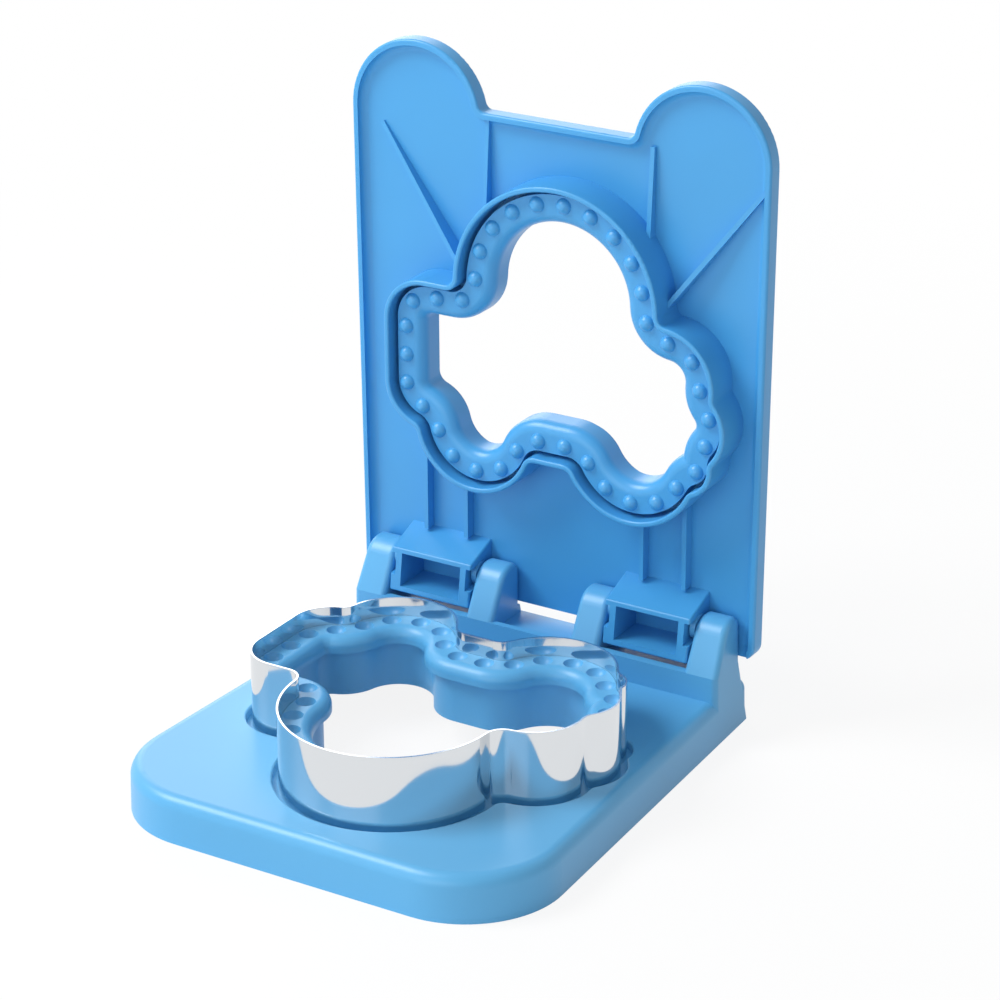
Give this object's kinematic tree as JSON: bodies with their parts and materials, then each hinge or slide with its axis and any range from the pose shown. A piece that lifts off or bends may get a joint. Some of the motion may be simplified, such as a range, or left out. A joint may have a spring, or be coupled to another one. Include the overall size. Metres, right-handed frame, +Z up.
{
  "type": "sandwich cutter and sealer",
  "caption": "Hinged sandwich press with a car-shaped steel cutter band on a flat tray and a crimping ring on a two-eared lid.",
  "frame": {"origin": "middle of the tray's footprint, on the floor it stands on", "axes": "+Z up, +Y towards the hinge at the back, +X to the right seen from the front; the lid stands open at rest"},
  "size_m": [0.1184, 0.129, 0.1664],
  "materials": {
    "tray_blue": "semi-gloss moulded polypropylene, light blue",
    "sleeve_blue": "semi-gloss moulded polypropylene, light blue",
    "lid_blue": "semi-gloss moulded polypropylene, light blue",
    "ring_blue": "semi-gloss moulded polypropylene, light blue",
    "knuckle_blue": "semi-gloss moulded polypropylene, light blue",
    "band_steel": "polished stainless strip"
  },
  "bodies": {
    "base": {"base_tray": "tray_blue", "cutter_band": "band_steel", "crimp_sleeve": "sleeve_blue"},
    "lid": {"lid_panel": "lid_blue", "press_ring": "ring_blue", "hinge_knuckle_left": "knuckle_blue", "hinge_knuckle_right": "knuckle_blue"}
  },
  "joints": [
    {"name": "lid_hinge", "type": "hinge", "parent": "base", "child": "lid", "pos_m": [0, 0.0542, 0.0276], "axis": [1, 0, 0], "range_deg": [0, 90]}
  ]
}
